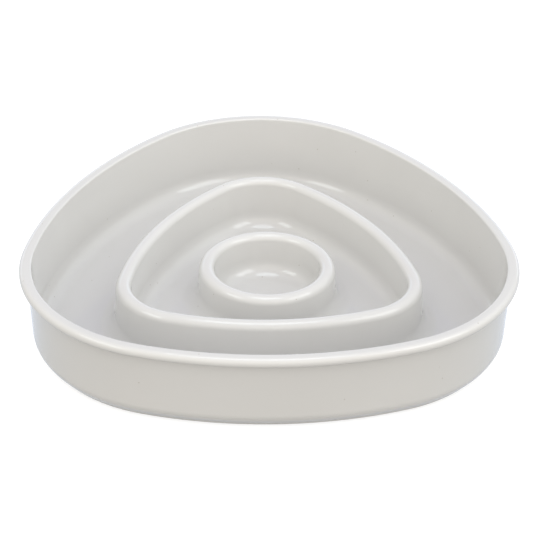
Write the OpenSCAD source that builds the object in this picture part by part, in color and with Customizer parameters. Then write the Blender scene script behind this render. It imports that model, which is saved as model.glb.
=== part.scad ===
// Slow feeder bowl with a rounded triangular plan: a thin wall with a beaded rim,
// a flat floor that carries a triangular ridge round a small central ring, and
// three rubber feet in round seats under the corners.
// The wall, foot, floor, ridge and ring are one moulding; they are drawn as five solids
// that meet face to face, so that each keeps its own simple shape.
// The origin lies under the middle of the bowl, on the surface that it stands on.

/* [Outline] */
// Distance from the middle of the triangle to each rounded corner, at the rim
corner_reach = 150; // [140:1:165]
// Radius of the rounded corners, at the rim
corner_radius = 95; // [80:1:105]
// How far each side bows out past a straight line that touches the corners' arcs
side_bow = 7.9; // [6:0.1:12]
// Height of the rim above the surface that the bowl stands on
bowl_height = 51; // [44:1:70]

/* [Rim and wall] */
// Width of the flat-topped bead, from its outside to the inside of the wall
rim_width = 7; // [6.2:0.1:9]
// How far the bead stands out past the wall
rim_overhang = 4.5; // [2.8:0.1:5.4]
// Upper outside rounding of the bead
rim_top_round = 3; // [1.5:0.1:3.6]
// Lower outside rounding of the bead
rim_low_round = 2.7; // [1:0.1:2.8]
// Rounding of the rim's inside edge
rim_inner_round = 1.2; // [0.5:0.1:2]
// Slope of the wall from upright, in degrees
wall_draft = 3.2; // [1:0.1:5]
// Radius of the curve from the outside of the wall to the foot
base_round = 9.7; // [6:0.1:12]
// Radius of the curve from the inside of the wall to the floor
wall_fillet = 10; // [5:0.5:13]

/* [Floor and foot] */
// Height of the floor's upper side above the surface that the bowl stands on
floor_height = 7.5; // [6:0.1:10]
// Thickness of the floor
floor_thickness = 4; // [3:0.1:5]
// How far the outside of the foot lies in from the rim's outside
foot_inset = 12; // [10.8:0.1:14]
// Width of the foot that runs round under the wall
foot_width = 5; // [3:0.1:6]
// How far the base curve would end above the foot's underside
foot_rise = 0.5; // [0:0.1:1.5]

/* [Ridge] */
// Distance from the rim's outside to the outside of the ridge's top, the same all round
ridge_inset = 54.5; // [48:0.5:60]
// Width of the ridge at its top
ridge_width = 8.8; // [7:0.1:10]
// Height of the ridge's top above the floor
ridge_rise = 30.8; // [22:0.1:36]
// Rounding of the ridge's outer top edge
ridge_outer_round = 4.8; // [1:0.1:5.4]
// Rounding of the ridge's inner top edge
ridge_inner_round = 3.8; // [1:0.1:4.4]

/* [Ring] */
// Gap between the ring and the inside of the ridge at the middle of each side
ring_gap = 27.2; // [24:0.1:34]
// Width of the ring at its top
ring_width = 9; // [7.4:0.1:10]
// Height of the ring's top above the floor
ring_rise = 24.7; // [18:0.1:30]
// Rounding of the ring's outer top edge
ring_outer_round = 4.8; // [1:0.1:5.4]
// Rounding of the ring's inner top edge
ring_inner_round = 4; // [1:0.1:4.6]

/* [Ridge and ring] */
// Least width of the flat that the roundings leave on the top of the ridge and the ring
top_flat = 0.2; // [0.1:0.05:1]
// Slope of the ridge's and the ring's faces from upright, in degrees
rib_draft = 2; // [0.5:0.1:4]
// Radius of the curves from the ridge and the ring to the floor
rib_fillet = 10; // [5:0.5:12]

/* [Rubber feet] */
// Radius of each rubber foot
pad_radius = 8; // [6:0.5:10]
// How far the rubber feet stand out under the bowl's foot
pad_proud = 1; // [0.5:0.1:2]
// Depth of the round seats in the underside of the floor
seat_depth = 1.2; // [0.6:0.1:2]
// Gap between the side of a rubber foot and its seat
seat_clearance = 0.3; // [0.1:0.05:0.5]
// Rounding of the rubber feet's lower edge
pad_round = 1; // [0.3:0.1:2]
// Gap between the bowl's foot and the rubber feet
pad_gap = 6; // [3:0.5:10]

/* [Hidden] */
$fa = 2;
$fs = 0.4;
// Straight steps in each rounded stretch of a profile
arc_steps = 8;
// Direction of the back corner, counted from the right
back_turn = 90;
// Turn between one corner and the next, and between a corner and the side beside it
third_turn = 120;
side_turn = third_turn / 2;
// Length of the cutting wedges, in corner radii
seam_share = 3;
// How far a side's sweep stands out past a corner's, so that no two faces nearly coincide
seam_step = 0.01;
// Levels of the underside of the moulding and of its floor
foot_level = pad_proud;
ceiling_level = floor_height - floor_thickness;
seat_level = ceiling_level + seat_depth;
// Distance from the outline's middle to the centre of each corner's arc
corner_gap = corner_reach - corner_radius;
// Distance from the outline's middle to the middle of each side
side_reach = corner_gap * cos(side_turn) + corner_radius + side_bow;
// Distance from the outline's middle to the centre of each side's long arc, on the far side
long_gap = (pow(corner_gap, 2) - pow(side_reach - corner_radius, 2)) / (2 * side_bow);
// Half of the angle that a side's long arc spans, and half of the angle of a corner's arc
side_half = atan2(corner_gap * sin(side_turn), long_gap + corner_gap * cos(side_turn));
corner_half = side_turn - side_half;
// The outline's middle lies behind the middle of the bowl's length
box_shift = (corner_reach - side_reach) / 2;
// Outer radius of the ring at its top
ring_radius = side_reach - ridge_inset - ridge_width - ring_gap;
// Distance from the outline's middle to each rubber foot
pad_reach = corner_reach - foot_inset - foot_width - pad_gap - pad_radius;

// Points of an arc round a centre, from one angle to another
function arc(centre, radius, from, to) = [
    for (step = [0:arc_steps])
        centre + radius * [
            cos(from + (to - from) * step / arc_steps),
            sin(from + (to - from) * step / arc_steps)
        ]
];

// All points of a list but its first
function later(points) = [for (spot = [1:len(points) - 1]) points[spot]];

// Place of the wall's outer face at a level, counted from the rim's outside
function wall_outside(level) =
    -rim_overhang - (bowl_height - rim_top_round - rim_low_round - level) * tan(wall_draft);

// Place of the wall's inner face at a level, counted from the rim's outside
function wall_inside(level) =
    -rim_width + rim_inner_round * (1 - cos(wall_draft))
    - (bowl_height - rim_inner_round * (1 - sin(wall_draft)) - level) * tan(wall_draft);

// Level where the inner fillet meets the wall; the base rim lies below it and the wall above
base_level = floor_height + wall_fillet * (1 - sin(wall_draft));

// Where the flat floor begins, counted from the rim's outside
floor_edge = wall_inside(base_level) - wall_fillet * cos(wall_draft);

// Section of the wall with its beaded rim
module wall_section() {
    inner_centre = [rim_inner_round - rim_width, bowl_height - rim_inner_round];
    top_centre = [-rim_top_round, bowl_height - rim_top_round];
    low_centre = [-rim_low_round, bowl_height - rim_top_round];
    polygon(concat(
        arc(inner_centre, rim_inner_round, 180 - wall_draft, 90),
        arc(top_centre, rim_top_round, 90, 0),
        later(arc(low_centre, rim_low_round, 0, -90)),
        [
            [-rim_overhang, bowl_height - rim_top_round - rim_low_round],
            [wall_outside(base_level), base_level],
            [wall_inside(base_level), base_level]
        ]
    ));
}

// Section of the base rim: base curve, foot and inner fillet
module base_section() {
    base_middle = foot_level + foot_rise + base_round;
    base_centre = [
        wall_outside(base_middle - base_round * sin(wall_draft)) - base_round * cos(wall_draft),
        base_middle
    ];
    foot_angle = acos((-foot_inset - base_centre[0]) / base_round);
    foot_inside = -foot_inset - foot_width;
    polygon(concat(
        [[wall_outside(base_level), base_level]],
        arc(base_centre, base_round, -wall_draft, -foot_angle),
        [
            [-foot_inset, foot_level],
            [foot_inside, foot_level],
            [foot_inside, ceiling_level],
            [floor_edge, ceiling_level]
        ],
        arc([floor_edge, floor_height + wall_fillet], wall_fillet, -90, -wall_draft)
    ));
}

// One face of a rib, from the top rounding down to the floor. Zero is where the rounding is
// widest; the face leans out from there and ends in the fillet.
function rib_face(rise, round) =
    let (
        drop = rise - (round + rib_fillet) * (1 - sin(rib_draft)),
        lean = drop * tan(rib_draft) - round * (1 - cos(rib_draft))
    )
    concat(
        arc([-round, rise - round], round, 90, rib_draft),
        arc([lean + rib_fillet * cos(rib_draft), rib_fillet], rib_fillet, 180 + rib_draft, 270)
    );

// Section of a rib that stands on the floor: rounded top, drafted faces, wide fillets.
// Its outer top edge is at zero and the rib lies on the negative side.
module rib_section(width, rise, outer_round, inner_round) {
    fit_share = min(1, (width - top_flat) / (outer_round + inner_round));
    outer = rib_face(rise, fit_share * outer_round);
    inner = rib_face(rise, fit_share * inner_round);
    polygon(concat(
        outer,
        [for (spot = [len(inner) - 1:-1:0]) [-width - inner[spot][0], inner[spot][1]]]
    ));
}

// Unit vector at an angle
function toward(angle) = [cos(angle), sin(angle)];

// Centre of the corner's arc at a turn from the back corner
function corner_at(turn) = corner_gap * toward(back_turn + turn);

// Far end of the seam that leaves a corner's centre at a swing from the corner's direction
function seam_at(turn, swing) =
    corner_at(turn) + seam_share * corner_radius * toward(back_turn + turn + swing);

// Centre of the long arc of the side that follows the corner at a turn
function long_at(turn) = -long_gap * toward(back_turn + turn + side_turn);

// Area between a corner's two seams
module corner_wedge(turn) {
    polygon([corner_at(turn), seam_at(turn, -corner_half), seam_at(turn, corner_half)]);
}

// Area between a corner's seam and the next corner's, over the side that joins them
module side_wedge(turn) {
    next_turn = turn + third_turn;
    polygon([
        corner_at(turn),
        seam_at(turn, corner_half),
        seam_at(next_turn, -corner_half),
        corner_at(next_turn)
    ]);
}

// Sweeps a section round the outline: three corner arcs and three long arcs.
// Each piece is cut from a full turn by a wedge, and neighbours share the points of a seam.
module sweep_round(tall) {
    for (turn = [0:third_turn:2 * third_turn]) {
        intersection() {
            translate(corner_at(turn)) rotate_extrude() translate([corner_radius, 0]) children();
            linear_extrude(tall) corner_wedge(turn);
        }
        intersection() {
            translate(long_at(turn))
                rotate_extrude() translate([long_gap + side_reach + seam_step, 0]) children();
            linear_extrude(tall) side_wedge(turn);
        }
    }
}

// The outline's area, drawn in by a distance: the middle, corner discs, and a slice of a
// big disc per side
module outline_area(inset) {
    polygon([for (turn = [0:third_turn:2 * third_turn]) corner_at(turn)]);
    for (turn = [0:third_turn:2 * third_turn]) {
        translate(corner_at(turn)) circle(r = corner_radius - inset);
        intersection() {
            translate(long_at(turn)) circle(r = long_gap + side_reach - inset);
            side_wedge(turn);
        }
    }
}

// Places something at the rubber foot of the corner at a turn from the back one
module at_pad(turn) {
    rotate(turn) translate([0, pad_reach, 0]) children();
}

// Moves the outline's middle so that the origin lies under the middle of the bowl
module placed() {
    translate([0, -box_shift, 0]) children();
}

module outer_wall() {
    color([0.9, 0.89, 0.87])
        placed() sweep_round(2 * bowl_height) wall_section();
}

module base_rim() {
    color([0.87, 0.86, 0.84])
        placed() sweep_round(2 * bowl_height) base_section();
}

module floor_plate() {
    color([0.84, 0.85, 0.85])
        placed() difference() {
            translate([0, 0, ceiling_level])
                linear_extrude(floor_thickness) outline_area(-floor_edge);
            for (turn = [0:third_turn:2 * third_turn])
                at_pad(turn)
                    translate([0, 0, ceiling_level - seat_depth])
                        cylinder(r = pad_radius + seat_clearance, h = 2 * seat_depth);
        }
}

module ridge() {
    color([0.88, 0.88, 0.86])
        placed() translate([0, 0, floor_height])
            sweep_round(2 * ridge_rise)
                translate([-ridge_inset, 0])
                    rib_section(ridge_width, ridge_rise, ridge_outer_round, ridge_inner_round);
}

module center_ring() {
    color([0.88, 0.88, 0.86])
        placed() translate([0, 0, floor_height])
            rotate_extrude()
                translate([ring_radius, 0])
                    rib_section(ring_width, ring_rise, ring_outer_round, ring_inner_round);
}

// One rubber foot: a round pad with a rounded lower edge
module rubber_foot(turn) {
    color([0.55, 0.55, 0.54])
        placed() at_pad(turn)
            rotate_extrude()
                polygon(concat(
                    [[0, seat_level], [0, 0]],
                    arc([pad_radius - pad_round, pad_round], pad_round, -90, 0),
                    [[pad_radius, seat_level]]
                ));
}

outer_wall();
base_rim();
floor_plate();  // floor
ridge();
center_ring();
rubber_foot(0);  // foot_back
rubber_foot(third_turn);  // foot_left
rubber_foot(-third_turn);  // foot_right
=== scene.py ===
"""The slow feeder bowl, dressed: one smooth glossy moulding and three rubber feet.

The moulding is drawn here as a single closed surface, swept from exact sections
round a rounded triangle, so that the wall, floor, ridge and ring run into each
other without a seam, as they do on the real bowl.
"""

import logging
import math
from dataclasses import dataclass, field
from enum import Enum
from typing import Iterable, Protocol

import bmesh
import bpy
from mathutils import Matrix, Vector


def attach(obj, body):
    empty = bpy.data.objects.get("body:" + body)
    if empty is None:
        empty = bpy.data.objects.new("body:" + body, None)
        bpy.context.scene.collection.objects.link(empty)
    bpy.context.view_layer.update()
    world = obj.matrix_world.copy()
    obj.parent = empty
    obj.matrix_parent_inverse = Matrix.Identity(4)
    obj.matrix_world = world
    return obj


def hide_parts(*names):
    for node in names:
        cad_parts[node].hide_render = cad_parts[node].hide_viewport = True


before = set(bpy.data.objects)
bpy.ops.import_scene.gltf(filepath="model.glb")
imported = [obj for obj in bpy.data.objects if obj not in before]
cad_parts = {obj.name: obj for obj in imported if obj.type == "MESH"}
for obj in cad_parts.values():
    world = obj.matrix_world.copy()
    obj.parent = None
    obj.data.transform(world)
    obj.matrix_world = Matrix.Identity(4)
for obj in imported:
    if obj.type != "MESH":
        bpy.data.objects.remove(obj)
log = logging.getLogger("bowl")

Spot = tuple[float, float]
Span = tuple[float, float]
Row = tuple["Outline", float, float]
Colour = tuple[float, float, float]

# Metres in a millimetre
MM = 0.001
# Place of the outline's middle along the bowl's depth, in millimetres
SHIFT = -9.8
# Distance from the outline's middle to each rubber foot, in millimetres
FOOT_REACH = 119.0
# Turn from one corner to the next, direction of a corner and of a side, in degrees
TURN = 120
CORNER_AT = 90
SIDE_AT = 30


class Slot(Enum):
    """Material slots of the record."""

    MOULDING = "moulding"
    RUBBER = "rubber_foot"


class Shape(Enum):
    """Shapes of a lamp's face, by the names that a lamp knows."""

    DISK = "DISK"
    RECTANGLE = "RECTANGLE"


class Corner(Enum):
    """The bowl's corners, each with its turn from the back one in degrees."""

    BACK = 0.0
    LEFT = 120.0
    RIGHT = -120.0


class Outline(Protocol):
    """A closed curve whose points are named by the direction that they face."""

    def spot(self, angle: float, offset: float) -> Spot:
        """Point that faces an angle, moved outward by an offset."""


def arc(centre: Spot, radius: float, start: float, end: float, steps: int) -> list[Spot]:
    """Points of an arc in a section.

    Args:
        centre: Middle of the arc, in millimetres.
        radius: Radius of the arc, in millimetres.
        start: First angle, in degrees.
        end: Last angle, in degrees.
        steps: Number of straight steps.

    Returns:
        The points from the first angle to the last, both included.
    """
    points = []
    for step in range(steps + 1):
        angle = math.radians(start + (end - start) * step / steps)
        points.append((centre[0] + radius * math.cos(angle), centre[1] + radius * math.sin(angle)))
    return points


def circle(corner: Corner, radius: float, level: float, steps: int) -> list[Vector]:
    """Points of a level circle round the axis of a corner's rubber foot.

    Args:
        corner: The corner that the foot stands under.
        radius: Radius of the circle, in millimetres.
        level: Height over the table, in millimetres.
        steps: Number of points.

    Returns:
        The points, in metres.
    """
    facing = math.radians(corner.value + CORNER_AT)
    middle = Vector((FOOT_REACH * math.cos(facing), FOOT_REACH * math.sin(facing) + SHIFT, level))
    turns = [2 * math.pi * step / steps for step in range(steps)]
    return [(middle + Vector((radius * math.cos(turn), radius * math.sin(turn), 0))) * MM for turn in turns]


def skin(mesh: bmesh.types.BMesh, loops: list[list[bmesh.types.BMVert]]) -> None:
    """Joins each closed loop of vertices to the next one by a band of faces.

    Args:
        mesh: The mesh that is added to.
        loops: Loops that all have the same number of vertices.
    """
    for low, high in zip(loops, loops[1:]):
        for i, vertex in enumerate(low):
            j = (i + 1) % len(low)
            mesh.faces.new((vertex, low[j], high[j], high[i]))


def stand(name: str, mesh: bmesh.types.BMesh) -> bpy.types.Object:
    """Turns a finished mesh into an object of the scene.

    Args:
        name: Name of the object.
        mesh: The mesh, which is freed.

    Returns:
        The new object.
    """
    data = bpy.data.meshes.new(name)
    mesh.to_mesh(data)
    mesh.free()
    piece = bpy.data.objects.new(name, data)
    bpy.context.scene.collection.objects.link(piece)
    return piece


@dataclass(frozen=True)
class RoundedTriangle:
    """Outline of three corner arcs joined by three long arcs, in millimetres."""

    reach: float
    radius: float
    bow: float

    @property
    def gap(self) -> float:
        """Distance from the middle to the centre of each corner's arc."""
        return self.reach - self.radius

    @property
    def side(self) -> float:
        """Distance from the middle to the middle of each side."""
        return self.gap / 2 + self.radius + self.bow

    @property
    def far(self) -> float:
        """Distance from the middle to the centre of a side's long arc."""
        return (self.gap**2 - (self.side - self.radius) ** 2) / (2 * self.bow)

    @property
    def half(self) -> float:
        """Half of the angle that a side's long arc spans, in degrees."""
        turn = math.radians(TURN / 2)
        return math.degrees(math.atan2(self.gap * math.sin(turn), self.far + self.gap * math.cos(turn)))

    def spot(self, angle: float, offset: float) -> Spot:
        """Point that faces an angle, moved outward by an offset.

        Args:
            angle: Direction that the outline faces, in degrees.
            offset: Distance outward from the outline, in millimetres.

        Returns:
            The point, in millimetres from the outline's middle.
        """
        from_side = (angle - SIDE_AT + TURN / 2) % TURN - TURN / 2
        if abs(from_side) <= self.half:
            base = math.radians(angle - from_side + 180)
            centre = (self.far * math.cos(base), self.far * math.sin(base))
            length = self.far + self.side + offset
        else:
            base = math.radians(round((angle - CORNER_AT) / TURN) * TURN + CORNER_AT)
            centre = (self.gap * math.cos(base), self.gap * math.sin(base))
            length = self.radius + offset
        facing = math.radians(angle)
        return (centre[0] + length * math.cos(facing), centre[1] + length * math.sin(facing))


@dataclass(frozen=True)
class Round:
    """Circular outline, in millimetres."""

    radius: float

    def spot(self, angle: float, offset: float) -> Spot:
        """Point that faces an angle, moved outward by an offset.

        Args:
            angle: Direction that the outline faces, in degrees.
            offset: Distance outward from the outline, in millimetres.

        Returns:
            The point, in millimetres from the outline's middle.
        """
        facing = math.radians(angle)
        length = self.radius + offset
        return (length * math.cos(facing), length * math.sin(facing))


@dataclass
class Bench:
    """Work space for a tree of shader nodes: adds them, sets their sockets and links them."""

    tree: bpy.types.NodeTree

    @classmethod
    def clear(cls, owner: bpy.types.Material | bpy.types.World) -> "Bench":
        """Empties the node tree of a new material or of the surroundings.

        Args:
            owner: What the node tree belongs to.

        Returns:
            The bench for the empty tree.
        """
        owner.use_nodes = True
        owner.node_tree.nodes.clear()
        return cls(owner.node_tree)

    def add(self, kind: str, **values: object) -> bpy.types.Node:
        """Adds a node.

        Args:
            kind: Name of the node type.
            **values: Attributes of the node.

        Returns:
            The new node.
        """
        node = self.tree.nodes.new(kind)
        for key, value in values.items():
            setattr(node, key, value)
        return node

    def plug(self, socket: bpy.types.NodeSocket, value: object) -> None:
        """Links an output to an input socket, or gives it a constant.

        Args:
            socket: The input socket.
            value: A constant, or an output socket to link.
        """
        if isinstance(value, bpy.types.NodeSocket):
            self.tree.links.new(value, socket)
        else:
            socket.default_value = value

    def feed(self, node: bpy.types.Node, **sockets: object) -> bpy.types.Node:
        """Sets or links input sockets, whose spaces are written as underscores.

        Args:
            node: The node whose inputs are fed.
            **sockets: A constant, or an output socket to link.

        Returns:
            The same node.
        """
        for key, value in sockets.items():
            self.plug(node.inputs[key.replace("_", " ")], value)
        return node

    def noise(self, place: bpy.types.NodeSocket, scale: float, detail: float) -> bpy.types.NodeSocket:
        """Noise over a surface.

        Args:
            place: Coordinates in metres.
            scale: Waves per metre.
            detail: Number of finer layers.

        Returns:
            The noise value, from 0 to 1.
        """
        node = self.feed(self.add("ShaderNodeTexNoise"), Vector=place, Scale=scale, Detail=detail)
        return node.outputs["Fac"]

    def ramp(self, value: bpy.types.NodeSocket, stops: Iterable[Span]) -> bpy.types.NodeSocket:
        """Turns one value into another through a grey ramp.

        Args:
            value: The value that is looked up.
            stops: Two pairs of position and grey level.

        Returns:
            The ramp's output.
        """
        node = self.feed(self.add("ShaderNodeValToRGB"), Fac=value)
        for element, (position, level) in zip(node.color_ramp.elements, stops):
            element.position = position
            element.color = (level, level, level, 1)
        return node.outputs["Color"]

    def blend(self, share: object, first: object, second: object) -> bpy.types.NodeSocket:
        """Mixes two colours.

        Args:
            share: Share of the second colour.
            first: Colour at a share of zero.
            second: Colour at a share of one.

        Returns:
            The mixed colour.
        """
        node = self.add("ShaderNodeMix", data_type="RGBA")
        for index, value in ((0, share), (6, first), (7, second)):
            self.plug(node.inputs[index], value)
        return node.outputs[2]

    def glow(self, kind: str, colour: Colour, strength: object = 1.0) -> bpy.types.NodeSocket:
        """Adds a shader that only has a colour and a strength.

        Args:
            kind: Name of the node type.
            colour: Colour of the light.
            strength: A constant, or an output socket to link.

        Returns:
            The shader.
        """
        return self.feed(self.add(kind), Color=(*colour, 1), Strength=strength).outputs[0]

    def matte(self, tone: Colour) -> bpy.types.NodeSocket:
        """Adds a plain matte shader of one colour."""
        return self.feed(self.add("ShaderNodeBsdfDiffuse"), Color=(*tone, 1)).outputs[0]

    def both(self, first: bpy.types.NodeSocket, second: bpy.types.NodeSocket) -> bpy.types.NodeSocket:
        """Adds the light of two shaders.

        Args:
            first: One shader.
            second: The other shader.

        Returns:
            The sum of the two.
        """
        node = self.add("ShaderNodeAddShader")
        for socket, shader in zip(node.inputs, (first, second)):
            self.plug(socket, shader)
        return node.outputs[0]

    def pick(
        self, share: bpy.types.NodeSocket, first: bpy.types.NodeSocket, second: bpy.types.NodeSocket
    ) -> bpy.types.NodeSocket:
        """Takes one of two shaders, or a mix of them.

        Args:
            share: Share of the second shader.
            first: Shader at a share of zero.
            second: Shader at a share of one.

        Returns:
            The chosen shader.
        """
        node = self.add("ShaderNodeMixShader")
        for socket, value in zip(node.inputs, (share, first, second)):
            self.plug(socket, value)
        return node.outputs[0]


@dataclass(frozen=True)
class GlossyMoulding:
    """Finish of the bowl: an even, dense off-white with a polished surface."""

    tint: Colour = (0.602, 0.600, 0.592)
    shade: Colour = (0.592, 0.589, 0.580)
    fleck: Colour = (0.30, 0.26, 0.21)
    cloud_scale: float = 14.0
    cloud_detail: float = 4.0
    cloud_span: Span = (0.35, 0.65)
    fleck_scale: float = 105.0
    fleck_span: Span = (0.022, 0.034)
    smudge_scale: float = 38.0
    smudge_detail: float = 6.0
    smudge_span: Span = (0.30, 0.70)
    sheen_low: float = 0.015
    sheen_high: float = 0.035
    ripple_scale: float = 260.0
    ripple_detail: float = 2.0
    ripple_strength: float = 0.006
    ripple_depth: float = 0.0006
    refraction: float = 1.5

    def make(self) -> bpy.types.Material:
        """Builds the material.

        Returns:
            The finished material.
        """
        material = bpy.data.materials.new("glossy_moulding")
        bench = Bench.clear(material)
        place = bench.add("ShaderNodeTexCoord").outputs["Object"]
        cloud = bench.ramp(
            bench.noise(place, self.cloud_scale, self.cloud_detail), zip(self.cloud_span, (0.0, 1.0))
        )
        colour = bench.blend(cloud, (*self.tint, 1), (*self.shade, 1))
        cells = bench.feed(
            bench.add("ShaderNodeTexVoronoi", voronoi_dimensions="3D"), Vector=place, Scale=self.fleck_scale
        )
        flecks = bench.ramp(cells.outputs["Distance"], zip(self.fleck_span, (1.0, 0.0)))
        colour = bench.blend(flecks, colour, (*self.fleck, 1))
        smudge = bench.noise(place, self.smudge_scale, self.smudge_detail)
        gloss = bench.ramp(smudge, zip(self.smudge_span, (self.sheen_low, self.sheen_high)))
        bump = bench.feed(
            bench.add("ShaderNodeBump"),
            Height=bench.noise(place, self.ripple_scale, self.ripple_detail),
            Strength=self.ripple_strength,
            Distance=self.ripple_depth,
        )
        surface = bench.feed(
            bench.add("ShaderNodeBsdfPrincipled"),
            Base_Color=colour,
            Roughness=gloss,
            IOR=self.refraction,
            Normal=bump.outputs["Normal"],
        )
        bench.feed(bench.add("ShaderNodeOutputMaterial"), Surface=surface.outputs["BSDF"])
        return material


@dataclass(frozen=True)
class PadRubber:
    """Finish of the rubber feet: matte grey with a fine grain and a scuffed sole."""

    tint: Colour = (0.22, 0.22, 0.215)
    scuffed: Colour = (0.32, 0.315, 0.30)
    wear_scale: float = 420.0
    wear_detail: float = 5.0
    wear_span: Span = (0.45, 0.62)
    grain_scale: float = 1500.0
    grain_detail: float = 3.0
    grain_span: Span = (0.3, 0.7)
    grain_strength: float = 0.25
    grain_depth: float = 0.0003
    sheen_low: float = 0.62
    sheen_high: float = 0.78

    def make(self) -> bpy.types.Material:
        """Builds the material.

        Returns:
            The finished material.
        """
        material = bpy.data.materials.new("pad_rubber")
        bench = Bench.clear(material)
        place = bench.add("ShaderNodeTexCoord").outputs["Object"]
        wear = bench.ramp(
            bench.noise(place, self.wear_scale, self.wear_detail), zip(self.wear_span, (0.0, 1.0))
        )
        colour = bench.blend(wear, (*self.tint, 1), (*self.scuffed, 1))
        grain = bench.noise(place, self.grain_scale, self.grain_detail)
        rough = bench.ramp(grain, zip(self.grain_span, (self.sheen_low, self.sheen_high)))
        bump = bench.feed(
            bench.add("ShaderNodeBump"), Height=grain, Strength=self.grain_strength, Distance=self.grain_depth
        )
        surface = bench.feed(
            bench.add("ShaderNodeBsdfPrincipled"),
            Base_Color=colour,
            Roughness=rough,
            Normal=bump.outputs["Normal"],
        )
        bench.feed(bench.add("ShaderNodeOutputMaterial"), Surface=surface.outputs["BSDF"])
        return material


@dataclass(frozen=True)
class Rib:
    """Section of a rib that stands on the floor, in millimetres."""

    width: float
    rise: float
    outer_round: float
    inner_round: float
    draft: float = 2.0
    fillet: float = 10.0
    round_steps: int = 11
    fillet_steps: int = 16

    def face(self, rounding: float) -> list[Spot]:
        """One face of the rib, from the top rounding down to the floor.

        Args:
            rounding: Rounding of the top edge.

        Returns:
            Points of [distance out from where the rounding is widest, level over the floor].
        """
        lean = math.radians(self.draft)
        drop = self.rise - (rounding + self.fillet) * (1 - math.sin(lean))
        foot = drop * math.tan(lean) - rounding * (1 - math.cos(lean)) + self.fillet * math.cos(lean)
        top = arc((-rounding, self.rise - rounding), rounding, 90, self.draft, self.round_steps)
        return top + arc((foot, self.fillet), self.fillet, 180 + self.draft, 270, self.fillet_steps)

    def section(self) -> list[Spot]:
        """The rib's whole section, from its inner foot to its outer foot.

        Returns:
            Points of [offset from the rib's outer top edge, level over the floor].
        """
        inner = [(-self.width - x, z) for x, z in reversed(self.face(self.inner_round))]
        return inner + self.face(self.outer_round)


@dataclass(frozen=True)
class Seat:
    """Round recess in the underside that takes a rubber foot, in millimetres."""

    radius: float = 8.3
    depth: float = 1.2
    steps: int = 64

    def sink(self, mesh: bmesh.types.BMesh, corner: Corner, level: float) -> list[bmesh.types.BMVert]:
        """Adds the wall and the bottom of the recess, whose edges stay sharp.

        Args:
            mesh: The mesh that is added to.
            corner: The corner under which the recess lies.
            level: Height of the underside.

        Returns:
            Vertices of the recess's open edge.
        """
        low, high = (
            [mesh.verts.new(point) for point in circle(corner, self.radius, height, self.steps)]
            for height in (level, level + self.depth)
        )
        skin(mesh, [low, high])
        mesh.faces.new(high)
        for ring in (low, high):
            for i, vertex in enumerate(ring):
                mesh.edges.get((vertex, ring[(i + 1) % len(ring)])).smooth = False
        return low


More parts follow.
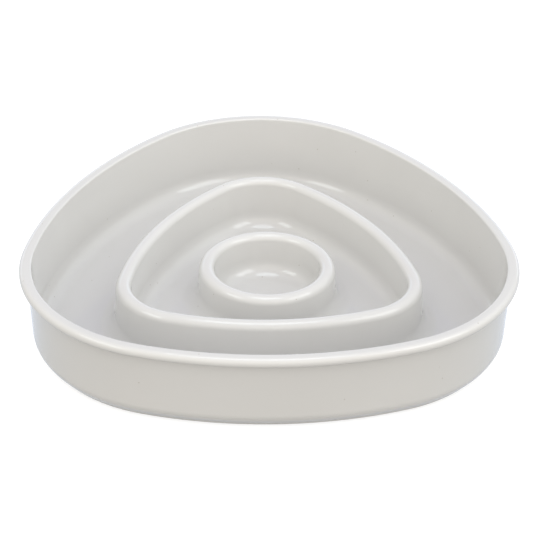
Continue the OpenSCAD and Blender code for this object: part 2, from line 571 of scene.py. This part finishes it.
@dataclass
class BowlMoulding:
    """The one-piece bowl: wall with its rim and foot, floor, ridge and ring."""

    rim: RoundedTriangle = RoundedTriangle(reach=150.0, radius=95.0, bow=7.9)
    ring: Round = Round(radius=39.9)
    ridge_inset: float = 54.5
    ridge_rib: Rib = Rib(width=8.8, rise=30.8, outer_round=4.8, inner_round=3.8)
    ring_rib: Rib = Rib(width=9.0, rise=24.7, outer_round=4.8, inner_round=4.0)
    height: float = 51.0
    rim_width: float = 7.0
    rim_overhang: float = 4.5
    rim_top_round: float = 3.0
    rim_low_round: float = 2.7
    rim_inner_round: float = 1.2
    lip_fillet: float = 1.3
    wall_draft: float = 3.2
    base_round: float = 9.7
    wall_fillet: float = 10.0
    floor_height: float = 7.5
    floor_thickness: float = 4.0
    foot_level: float = 1.0
    foot_inset: float = 12.0
    foot_width: float = 5.0
    foot_rise: float = 0.5
    foot_edge: float = 0.35
    ceiling_fillet: float = 1.2
    seat: Seat = Seat()
    side_step: float = 0.75
    corner_step: float = 1.15
    side_span: float = 21.0
    fillet_steps: int = 16
    rim_inner_steps: int = 7
    rim_top_steps: int = 10
    rim_low_steps: int = 9
    lip_steps: int = 4
    base_steps: int = 14
    edge_steps: int = 3
    ceiling_steps: int = 5
    finish: GlossyMoulding = field(default_factory=GlossyMoulding)

    @property
    def ceiling(self) -> float:
        """Level of the flat underside."""
        return self.floor_height - self.floor_thickness

    def run(self, drop: float) -> float:
        """Sideways run of a drafted face over a drop."""
        return drop * math.tan(math.radians(self.wall_draft))

    def angles(self) -> list[float]:
        """Directions of the sections, closer together along the long sides.

        Returns:
            Angles in degrees, round the whole outline.
        """
        side_width = 2 * self.side_span
        side_count = round(side_width / self.side_step)
        corner_width = TURN - side_width
        corner_count = round(corner_width / self.corner_step)
        found = []
        for turn in range(0, len(Corner) * TURN, TURN):
            first = SIDE_AT + turn - self.side_span
            found += [first + side_width * i / side_count for i in range(side_count)]
            second = SIDE_AT + turn + self.side_span
            found += [second + corner_width * i / corner_count for i in range(corner_count)]
        return found

    def wall_inside(self) -> list[Spot]:
        """Section of the wall from the floor's edge up to the rim.

        Returns:
            Points of [offset from the rim's outside, level].
        """
        sine = math.sin(math.radians(self.wall_draft))
        cosine = math.cos(math.radians(self.wall_draft))
        inner = (self.rim_inner_round - self.rim_width, self.height - self.rim_inner_round)
        fillet_top = self.floor_height + self.wall_fillet * (1 - sine)
        face_top = inner[1] + self.rim_inner_round * sine
        face_x = -self.rim_width + self.rim_inner_round * (1 - cosine) - self.run(face_top - fillet_top)
        fillet = (face_x - self.wall_fillet * cosine, self.floor_height + self.wall_fillet)
        points = arc(fillet, self.wall_fillet, -90, -self.wall_draft, self.fillet_steps)
        return points + arc(inner, self.rim_inner_round, 180 - self.wall_draft, 90, self.rim_inner_steps)

    def bead(self) -> list[Spot]:
        """Section of the rim's bead, from its top to the crease under it.

        Returns:
            Points of [offset from the rim's outside, level].
        """
        level = self.height - self.rim_top_round
        lip = level - self.rim_low_round
        crease = (-self.rim_overhang + self.lip_fillet, lip - self.lip_fillet)
        points = arc((-self.rim_top_round, level), self.rim_top_round, 90, 0, self.rim_top_steps)
        points += arc((-self.rim_low_round, level), self.rim_low_round, 0, -90, self.rim_low_steps)[1:]
        return points + arc(crease, self.lip_fillet, 90, 180 - self.wall_draft, self.lip_steps)

    def base(self) -> list[Spot]:
        """Section from the wall's lower rounding over the foot to the flat underside.

        Returns:
            Points of [offset from the rim's outside, level].
        """
        sine = math.sin(math.radians(self.wall_draft))
        cosine = math.cos(math.radians(self.wall_draft))
        lip = self.height - self.rim_top_round - self.rim_low_round
        middle = self.foot_level + self.foot_rise + self.base_round
        wall_x = -self.rim_overhang - self.run(lip - (middle - self.base_round * sine))
        centre_x = wall_x - self.base_round * cosine
        foot_angle = math.degrees(math.acos((-self.foot_inset - centre_x) / self.base_round))
        points = arc((centre_x, middle), self.base_round, -self.wall_draft, -foot_angle, self.base_steps)
        edge, curl = self.foot_edge, self.ceiling_fillet
        foot_in = -self.foot_inset - self.foot_width
        points += arc((-self.foot_inset - edge, self.foot_level + edge), edge, 0, -90, self.edge_steps)
        points += arc((foot_in + edge, self.foot_level + edge), edge, -90, -180, self.edge_steps)
        return points + arc((foot_in - curl, self.ceiling - curl), curl, 0, 90, self.ceiling_steps)

    def rows(self) -> list[Row]:
        """All sections in one line, from the ring's inner foot to the underside.

        Returns:
            Rows of outline, offset and level.
        """
        found: list[Row] = []
        ribs = ((self.ring, 0.0, self.ring_rib), (self.rim, self.ridge_inset, self.ridge_rib))
        for outline, inset, rib in ribs:
            found += [(outline, x - inset, z + self.floor_height) for x, z in rib.section()]
        found += [(self.rim, x, z) for x, z in self.wall_inside() + self.bead() + self.base()]
        return found

    def build(self) -> bpy.types.Object:
        """Builds the closed surface of the moulding.

        Returns:
            The new object, in the row's frame.
        """
        mesh = bmesh.new()
        directions = self.angles()
        loops = []
        for outline, offset, level in self.rows():
            spots = [outline.spot(angle, offset) for angle in directions]
            loops.append([mesh.verts.new((x * MM, (y + SHIFT) * MM, level * MM)) for x, y in spots])
        skin(mesh, loops)
        self.cup_floor(mesh, loops[0])
        self.underside(mesh, loops[-1])
        bmesh.ops.recalc_face_normals(mesh, faces=mesh.faces)
        piece = stand("bowl_moulding", mesh)
        piece.data.shade_smooth()
        return piece

    def cup_floor(self, mesh: bmesh.types.BMesh, loop: list[bmesh.types.BMVert]) -> None:
        """Closes the floor inside the ring with a fan round its middle.

        Args:
            mesh: The mesh that is added to.
            loop: Vertices of the ring's inner foot.
        """
        middle = mesh.verts.new((0, SHIFT * MM, self.floor_height * MM))
        for i, vertex in enumerate(loop):
            mesh.faces.new((middle, vertex, loop[(i + 1) % len(loop)]))

    def underside(self, mesh: bmesh.types.BMesh, loop: list[bmesh.types.BMVert]) -> None:
        """Closes the underside with a flat area that leaves a round seat for each foot.

        Args:
            mesh: The mesh that is added to.
            loop: Vertices round the flat area.
        """
        edges = []
        for outline in [loop] + [self.seat.sink(mesh, corner, self.ceiling) for corner in Corner]:
            for i, vertex in enumerate(outline):
                edges.append(mesh.edges.get((vertex, outline[(i + 1) % len(outline)])))
        bmesh.ops.triangle_fill(mesh, use_beauty=True, edges=edges, normal=(0, 0, -1))

    def dress(self, piece: bpy.types.Object) -> None:
        """Gives the moulding its finish and its place in the model.

        Args:
            piece: The moulding.
        """
        piece.data.materials.append(self.finish.make())
        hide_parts("outer_wall", "base_rim", "floor", "ridge", "center_ring")
        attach(piece, "root")


@dataclass
class RubberFoot:
    """One round rubber pad under a corner of the bowl, in millimetres."""

    corner: Corner
    radius: float = 8.0
    top: float = 4.7
    rounding: float = 1.0
    dish: float = 0.25
    sole_share: float = 0.62
    slope_share: float = 0.93
    hollow_share: float = 0.86
    rounding_steps: int = 7
    steps: int = 64

    @property
    def name(self) -> str:
        """Name of the CAD node that the pad stands for."""
        return f"foot_{self.corner.name.lower()}"

    def section(self) -> list[Spot]:
        """Section from the edge of the sole's hollow to the pad's upper edge.

        Returns:
            Points of [distance from the pad's axis, level].
        """
        sole = self.radius * self.sole_share
        points = [(sole * self.hollow_share, self.dish), (sole * self.slope_share, self.dish / 2)]
        points += [(sole, 0.0)]
        shoulder = (self.radius - self.rounding, self.rounding)
        points += arc(shoulder, self.rounding, -90, 0, self.rounding_steps)
        return points + [(self.radius, self.top)]

    def build(self) -> bpy.types.Object:
        """Builds the pad with its slightly hollow sole.

        Returns:
            The new object, in the row's frame.
        """
        mesh = bmesh.new()
        loops = [
            [mesh.verts.new(point) for point in circle(self.corner, radius, level, self.steps)]
            for radius, level in self.section()
        ]
        skin(mesh, loops)
        mesh.faces.new(list(reversed(loops[0])))
        mesh.faces.new(loops[-1])
        bmesh.ops.recalc_face_normals(mesh, faces=mesh.faces)
        piece = stand(f"{self.name}_pad", mesh)
        piece.data.shade_smooth()
        return piece

    def dress(self, piece: bpy.types.Object, rubber: bpy.types.Material) -> None:
        """Gives the pad its finish and its place in the model.

        Args:
            piece: The pad.
            rubber: The finish that all pads share.
        """
        piece.data.materials.append(rubber)
        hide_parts(self.name)
        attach(piece, "root")


def toward(azimuth: float, elevation: float) -> Vector:
    """Direction from the bowl, by compass turn from the back and by height.

    Args:
        azimuth: Turn from the back towards the right, in degrees.
        elevation: Height over the horizon, in degrees.

    Returns:
        The direction, of length one.
    """
    turn, level = math.radians(azimuth), math.radians(elevation)
    return Vector((math.cos(level) * math.sin(turn), math.cos(level) * math.cos(turn), math.sin(level)))


@dataclass(frozen=True)
class Glow:
    """Broad soft light from one part of the surroundings."""

    azimuth: float
    elevation: float
    colour: Colour
    focus: float = 3.0

    def shine(self, bench: Bench) -> bpy.types.NodeSocket:
        """Adds the glow to the surroundings.

        Args:
            bench: The bench of the surroundings.

        Returns:
            The glow's shader.
        """
        facing = bench.add("ShaderNodeVectorMath", operation="DOT_PRODUCT")
        bench.plug(facing.inputs[0], bench.add("ShaderNodeTexCoord").outputs["Generated"])
        bench.plug(facing.inputs[1], toward(self.azimuth, self.elevation))
        value = facing.outputs["Value"]
        for operation, constant in (("MAXIMUM", 0.0), ("POWER", self.focus)):
            step = bench.add("ShaderNodeMath", operation=operation)
            bench.plug(step.inputs[0], value)
            bench.plug(step.inputs[1], constant)
            value = step.outputs[0]
        return bench.glow("ShaderNodeBackground", self.colour, value)


@dataclass(frozen=True)
class Softbox:
    """One soft lamp that shows only as a reflection, in metres, degrees and watts."""

    name: str
    shape: Shape
    azimuth: float
    elevation: float
    distance: float
    width: float
    length: float
    power: float
    tint: Colour

    def hang(self, aim: Vector) -> None:
        """Hangs the lamp and turns it to a point.

        Args:
            aim: The point that the lamp looks at.
        """
        data = bpy.data.lights.new(self.name, "AREA")
        data.shape = self.shape.value
        data.size = self.width
        data.size_y = self.length
        data.energy = self.power
        data.color = self.tint
        lamp = bpy.data.objects.new(self.name, data)
        lamp.visible_diffuse = False
        way = toward(self.azimuth, self.elevation)
        lamp.location = aim + way * self.distance
        lamp.rotation_euler = way.to_track_quat("Z", "Y").to_euler()
        bpy.context.scene.collection.objects.link(lamp)


@dataclass
class PhotoCamera:
    """The camera at the photograph's place, in millimetres, degrees and pixels."""

    yaw: float = 3.2103
    pitch: float = 31.7026
    roll: float = 0.9
    distance: float = 1444.5
    slide: float = 1.967
    lift: float = 22.461
    aim_level: float = 1.0
    lens_pixels: float = 2446.29
    image_pixels: float = 540.0
    pixel_offset: float = 0.5
    sensor_width: float = 36.0
    clip_end: float = 50.0

    def set_up(self) -> None:
        """Adds the camera and makes it the scene's own."""
        pitch, roll = math.radians(self.pitch), math.radians(self.roll)
        right = Vector((1, 0, 0))
        forward = Vector((0, math.cos(pitch), -math.sin(pitch)))
        up = Vector((0, math.sin(pitch), math.cos(pitch)))
        place = -forward * self.distance + right * self.slide + up * self.lift
        across = right * math.cos(roll) + up * math.sin(roll)
        above = up * math.cos(roll) - right * math.sin(roll)
        turn = Matrix.Rotation(math.radians(-self.yaw), 3, "Z")
        axes = Matrix((turn @ across, turn @ above, turn @ -forward)).transposed()
        spot = turn @ place + Vector((0, SHIFT, self.aim_level))
        data = bpy.data.cameras.new("photo_camera")
        data.sensor_width = self.sensor_width
        data.lens = self.lens_pixels / self.image_pixels * self.sensor_width
        data.shift_x = -self.pixel_offset / self.image_pixels
        data.shift_y = self.pixel_offset / self.image_pixels
        data.clip_end = self.clip_end
        camera = bpy.data.objects.new("photo_camera", data)
        camera.matrix_world = Matrix.Translation(spot * MM) @ axes.to_4x4()
        bpy.context.scene.collection.objects.link(camera)
        bpy.context.scene.camera = camera


@dataclass
class StudioFloor:
    """Pale floor: a soft shadow on white, bluish in reflections, clear from below."""

    bounce_tone: Colour = (0.42, 0.40, 0.37)
    shadow_tone: Colour = (0.35, 0.35, 0.35)
    mirror_tone: Colour = (0.80, 0.86, 0.96)
    white: Colour = (1.0, 1.0, 1.0)
    glow: float = 0.78
    radius: float = 6.0
    steps: int = 96
    drop: float = 0.02

    def finish(self) -> bpy.types.Material:
        """Builds the floor's material, which differs by the kind of ray that meets it.

        Returns:
            The finished material.
        """
        material = bpy.data.materials.new("studio_floor")
        bench = Bench.clear(material)
        path = bench.add("ShaderNodeLightPath").outputs
        white = bench.glow("ShaderNodeEmission", self.white, self.glow)
        seen = bench.both(bench.matte(self.shadow_tone), white)
        mirrored = bench.glow("ShaderNodeEmission", self.mirror_tone)
        surface = bench.pick(path["Is Camera Ray"], bench.matte(self.bounce_tone), seen)
        surface = bench.pick(path["Is Glossy Ray"], surface, mirrored)
        behind = bench.add("ShaderNodeNewGeometry").outputs["Backfacing"]
        surface = bench.pick(behind, surface, bench.add("ShaderNodeBsdfTransparent").outputs[0])
        bench.feed(bench.add("ShaderNodeOutputMaterial"), Surface=surface)
        return material

    def lay(self) -> None:
        """Lays the floor just under the bowl's feet."""
        mesh = bmesh.new()
        bmesh.ops.create_circle(mesh, cap_ends=True, radius=self.radius, segments=self.steps)
        piece = stand("studio_floor", mesh)
        piece.data.materials.append(self.finish())
        piece.location.z = -self.drop * MM


@dataclass
class Studio:
    """Camera, pale floor, even surroundings with broad glows, and soft lamps."""

    camera: PhotoCamera = field(default_factory=PhotoCamera)
    floor: StudioFloor = field(default_factory=StudioFloor)
    surround: Colour = (0.515, 0.517, 0.621)
    backing: Colour = (1.0, 1.0, 1.0)
    lamp_aim: float = 20.0
    glows: tuple[Glow, ...] = (
        Glow(azimuth=180.0, elevation=30.0, colour=(1.35, 1.255, 0.985)),
        Glow(azimuth=-90.0, elevation=38.0, colour=(0.93, 0.91, 0.64)),
        Glow(azimuth=90.0, elevation=38.0, colour=(1.23, 1.26, 1.05)),
        Glow(azimuth=180.0, elevation=85.0, colour=(0.0, 0.02, 0.22)),
    )
    lamps: tuple[Softbox, ...] = (
        Softbox(
            "overhead_lamp", Shape.DISK, azimuth=180.0, elevation=88.0, distance=1.5,
            width=0.74, length=0.74, power=4.8, tint=(0.86, 0.94, 1.0),
        ),
        Softbox(
            "left_lamp", Shape.RECTANGLE, azimuth=-114.0, elevation=43.0, distance=1.6,
            width=0.75, length=0.5, power=4.2, tint=(0.93, 0.98, 1.0),
        ),
        Softbox(
            "right_lamp", Shape.RECTANGLE, azimuth=118.0, elevation=47.0, distance=1.6,
            width=1.0, length=0.7, power=7.0, tint=(0.93, 0.98, 1.0),
        ),
        Softbox(
            "backdrop", Shape.RECTANGLE, azimuth=0.0, elevation=10.0, distance=2.5,
            width=5.0, length=1.25, power=20.0, tint=(0.75, 0.88, 1.0),
        ),
    )

    def surroundings(self) -> None:
        """Sets the surroundings with their broad glows, white where the camera sees them."""
        world = bpy.data.worlds.new("studio_world")
        bench = Bench.clear(world)
        light = bench.glow("ShaderNodeBackground", self.surround)
        for glow in self.glows:
            light = bench.both(light, glow.shine(bench))
        seen = bench.add("ShaderNodeLightPath").outputs["Is Camera Ray"]
        light = bench.pick(seen, light, bench.glow("ShaderNodeBackground", self.backing))
        bench.feed(bench.add("ShaderNodeOutputWorld"), Surface=light)
        bpy.context.scene.world = world

    def set_up(self) -> None:
        """Sets up the whole studio."""
        self.camera.set_up()
        self.floor.lay()
        self.surroundings()
        for lamp in self.lamps:
            lamp.hang(Vector((0, SHIFT, self.lamp_aim)) * MM)
        bpy.context.scene.view_settings.view_transform = "Standard"


def main() -> None:
    """Builds the studio and every piece, and notes the size of the model."""
    logging.basicConfig(level=logging.INFO, format="%(message)s")
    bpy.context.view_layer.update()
    Studio().set_up()
    log.info("studio: camera, floor, surroundings and lamps")
    bowl = BowlMoulding()
    moulding = bowl.build()
    bowl.dress(moulding)
    log.info("%s: %d faces", moulding.name, len(moulding.data.polygons))
    rubber = PadRubber().make()
    for corner in Corner:
        foot = RubberFoot(corner)
        pad = foot.build()
        foot.dress(pad, rubber)
        log.info("%s: %d faces", pad.name, len(pad.data.polygons))


if __name__ == "__main__":
    main()
